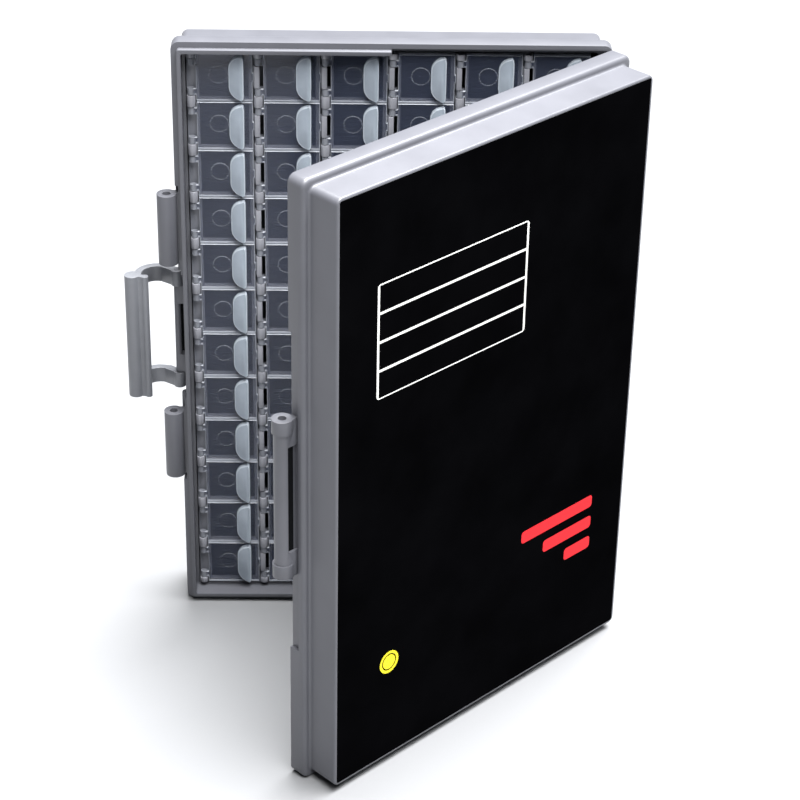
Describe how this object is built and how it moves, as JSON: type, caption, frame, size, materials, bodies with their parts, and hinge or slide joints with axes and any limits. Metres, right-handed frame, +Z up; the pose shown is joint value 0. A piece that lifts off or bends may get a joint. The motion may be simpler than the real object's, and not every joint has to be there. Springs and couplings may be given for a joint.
{
  "type": "compartment storage case",
  "caption": "Grey plastic case that opens like a book, both halves filled with rows of small pockets under clear hinged lids, with a hinge pin and a swing latch on the free edge.",
  "frame": {"origin": "middle of the foot under the rear shell's rim band", "axes": "+Z up along the case's long side, +X to the hinge edge, -Y out of the rear half's open face"},
  "size_m": [0.1848, 0.1392, 0.232],
  "materials": {
    "shell_abs": "moulded, satin",
    "strip_abs": "moulded, satin",
    "clear_lid": "clear moulded, polished",
    "label_film": "glossy printed film",
    "steel_pin": "bright drawn",
    "latch_abs": "moulded, satin"
  },
  "bodies": {
    "rear_half": {"rear_shell": "shell_abs", "hinge_pin": "steel_pin", "rear_strip_1": "strip_abs", "rear_strip_2": "strip_abs", "rear_strip_3": "strip_abs", "rear_strip_4": "strip_abs", "rear_strip_5": "strip_abs", "rear_strip_6": "strip_abs"},
    "front_half": {"front_shell": "shell_abs", "front_label": "label_film", "front_strip_1": "strip_abs", "front_strip_2": "strip_abs", "front_strip_3": "strip_abs", "front_strip_4": "strip_abs", "front_strip_5": "strip_abs", "front_strip_6": "strip_abs"},
    "latch": {"latch_handle": "latch_abs"},
    "rear_lid_1": {"rear_lid_1": "clear_lid"},
    "rear_lid_2": {"rear_lid_2": "clear_lid"},
    "rear_lid_3": {"rear_lid_3": "clear_lid"},
    "rear_lid_4": {"rear_lid_4": "clear_lid"},
    "rear_lid_5": {"rear_lid_5": "clear_lid"},
    "rear_lid_6": {"rear_lid_6": "clear_lid"},
    "rear_lid_7": {"rear_lid_7": "clear_lid"},
    "rear_lid_8": {"rear_lid_8": "clear_lid"},
    "rear_lid_9": {"rear_lid_9": "clear_lid"},
    "rear_lid_10": {"rear_lid_10": "clear_lid"},
    "rear_lid_11": {"rear_lid_11": "clear_lid"},
    "rear_lid_12": {"rear_lid_12": "clear_lid"},
    "rear_lids_column_2": {"rear_lids_column_2": "clear_lid"},
    "rear_lids_column_3": {"rear_lids_column_3": "clear_lid"},
    "rear_lids_column_4": {"rear_lids_column_4": "clear_lid"},
    "rear_lids_column_5": {"rear_lids_column_5": "clear_lid"},
    "rear_lids_column_6": {"rear_lids_column_6": "clear_lid"},
    "front_lids_column_1": {"front_lids_column_1": "clear_lid"},
    "front_lids_column_2": {"front_lids_column_2": "clear_lid"},
    "front_lids_column_3": {"front_lids_column_3": "clear_lid"},
    "front_lids_column_4": {"front_lids_column_4": "clear_lid"},
    "front_lids_column_5": {"front_lids_column_5": "clear_lid"},
    "front_lids_column_6": {"front_lids_column_6": "clear_lid"}
  },
  "joints": [
    {"name": "case_hinge", "type": "hinge", "parent": "rear_half", "child": "front_half", "pos_m": [0.0795, -0.0035, 0.116], "axis": [0, 0, 1], "range_deg": [-43.5, 136.5]},
    {"name": "latch_swing", "type": "hinge", "parent": "rear_half", "child": "latch", "pos_m": [-0.0774, 0.0041, 0.116], "axis": [0, 0, -1], "range_deg": [-51.5, 75]},
    {"name": "rear_lid_1_hinge", "type": "hinge", "parent": "rear_half", "child": "rear_lid_1", "pos_m": [-0.0701, 0.00095, 0.21766], "axis": [0, 0, -1], "range_deg": [0, 100]},
    {"name": "rear_lid_2_hinge", "type": "hinge", "parent": "rear_half", "child": "rear_lid_2", "pos_m": [-0.0701, 0.00095, 0.19917], "axis": [0, 0, -1], "range_deg": [0, 100]},
    {"name": "rear_lid_3_hinge", "type": "hinge", "parent": "rear_half", "child": "rear_lid_3", "pos_m": [-0.0701, 0.00095, 0.18069], "axis": [0, 0, -1], "range_deg": [0, 100]},
    {"name": "rear_lid_4_hinge", "type": "hinge", "parent": "rear_half", "child": "rear_lid_4", "pos_m": [-0.0701, 0.00095, 0.16221], "axis": [0, 0, -1], "range_deg": [0, 100]},
    {"name": "rear_lid_5_hinge", "type": "hinge", "parent": "rear_half", "child": "rear_lid_5", "pos_m": [-0.0701, 0.00095, 0.14372], "axis": [0, 0, -1], "range_deg": [0, 100]},
    {"name": "rear_lid_6_hinge", "type": "hinge", "parent": "rear_half", "child": "rear_lid_6", "pos_m": [-0.0701, 0.00095, 0.12524], "axis": [0, 0, -1], "range_deg": [0, 100]},
    {"name": "rear_lid_7_hinge", "type": "hinge", "parent": "rear_half", "child": "rear_lid_7", "pos_m": [-0.0701, 0.00095, 0.10676], "axis": [0, 0, -1], "range_deg": [0, 100]},
    {"name": "rear_lid_8_hinge", "type": "hinge", "parent": "rear_half", "child": "rear_lid_8", "pos_m": [-0.0701, 0.00095, 0.08828], "axis": [0, 0, -1], "range_deg": [0, 100]},
    {"name": "rear_lid_9_hinge", "type": "hinge", "parent": "rear_half", "child": "rear_lid_9", "pos_m": [-0.0701, 0.00095, 0.06979], "axis": [0, 0, -1], "range_deg": [0, 100]},
    {"name": "rear_lid_10_hinge", "type": "hinge", "parent": "rear_half", "child": "rear_lid_10", "pos_m": [-0.0701, 0.00095, 0.05131], "axis": [0, 0, -1], "range_deg": [0, 100]},
    {"name": "rear_lid_11_hinge", "type": "hinge", "parent": "rear_half", "child": "rear_lid_11", "pos_m": [-0.0701, 0.00095, 0.03283], "axis": [0, 0, -1], "range_deg": [0, 100]},
    {"name": "rear_lid_12_hinge", "type": "hinge", "parent": "rear_half", "child": "rear_lid_12", "pos_m": [-0.0701, 0.00095, 0.01434], "axis": [0, 0, -1], "range_deg": [0, 100]},
    {"name": "rear_lids_column_2_hinge", "type": "hinge", "parent": "rear_half", "child": "rear_lids_column_2", "pos_m": [-0.04655, 0.00095, 0.116], "axis": [0, 0, -1], "range_deg": [0, 100]},
    {"name": "rear_lids_column_3_hinge", "type": "hinge", "parent": "rear_half", "child": "rear_lids_column_3", "pos_m": [-0.023, 0.00095, 0.116], "axis": [0, 0, -1], "range_deg": [0, 100]},
    {"name": "rear_lids_column_4_hinge", "type": "hinge", "parent": "rear_half", "child": "rear_lids_column_4", "pos_m": [0.00055, 0.00095, 0.116], "axis": [0, 0, -1], "range_deg": [0, 100]},
    {"name": "rear_lids_column_5_hinge", "type": "hinge", "parent": "rear_half", "child": "rear_lids_column_5", "pos_m": [0.0241, 0.00095, 0.116], "axis": [0, 0, -1], "range_deg": [0, 100]},
    {"name": "rear_lids_column_6_hinge", "type": "hinge", "parent": "rear_half", "child": "rear_lids_column_6", "pos_m": [0.04765, 0.00095, 0.116], "axis": [0, 0, -1], "range_deg": [0, 100]},
    {"name": "front_lids_column_1_hinge", "type": "hinge", "parent": "front_half", "child": "front_lids_column_1", "pos_m": [-0.02595, -0.10971, 0.116], "axis": [0, 0, 1], "range_deg": [0, 100]},
    {"name": "front_lids_column_2_hinge", "type": "hinge", "parent": "front_half", "child": "front_lids_column_2", "pos_m": [-0.00887, -0.09349, 0.116], "axis": [0, 0, 1], "range_deg": [0, 100]},
    {"name": "front_lids_column_3_hinge", "type": "hinge", "parent": "front_half", "child": "front_lids_column_3", "pos_m": [0.00821, -0.07728, 0.116], "axis": [0, 0, 1], "range_deg": [0, 100]},
    {"name": "front_lids_column_4_hinge", "type": "hinge", "parent": "front_half", "child": "front_lids_column_4", "pos_m": [0.0253, -0.06107, 0.116], "axis": [0, 0, 1], "range_deg": [0, 100]},
    {"name": "front_lids_column_5_hinge", "type": "hinge", "parent": "front_half", "child": "front_lids_column_5", "pos_m": [0.04238, -0.04486, 0.116], "axis": [0, 0, 1], "range_deg": [0, 100]},
    {"name": "front_lids_column_6_hinge", "type": "hinge", "parent": "front_half", "child": "front_lids_column_6", "pos_m": [0.05946, -0.02865, 0.116], "axis": [0, 0, 1], "range_deg": [0, 100]}
  ]
}
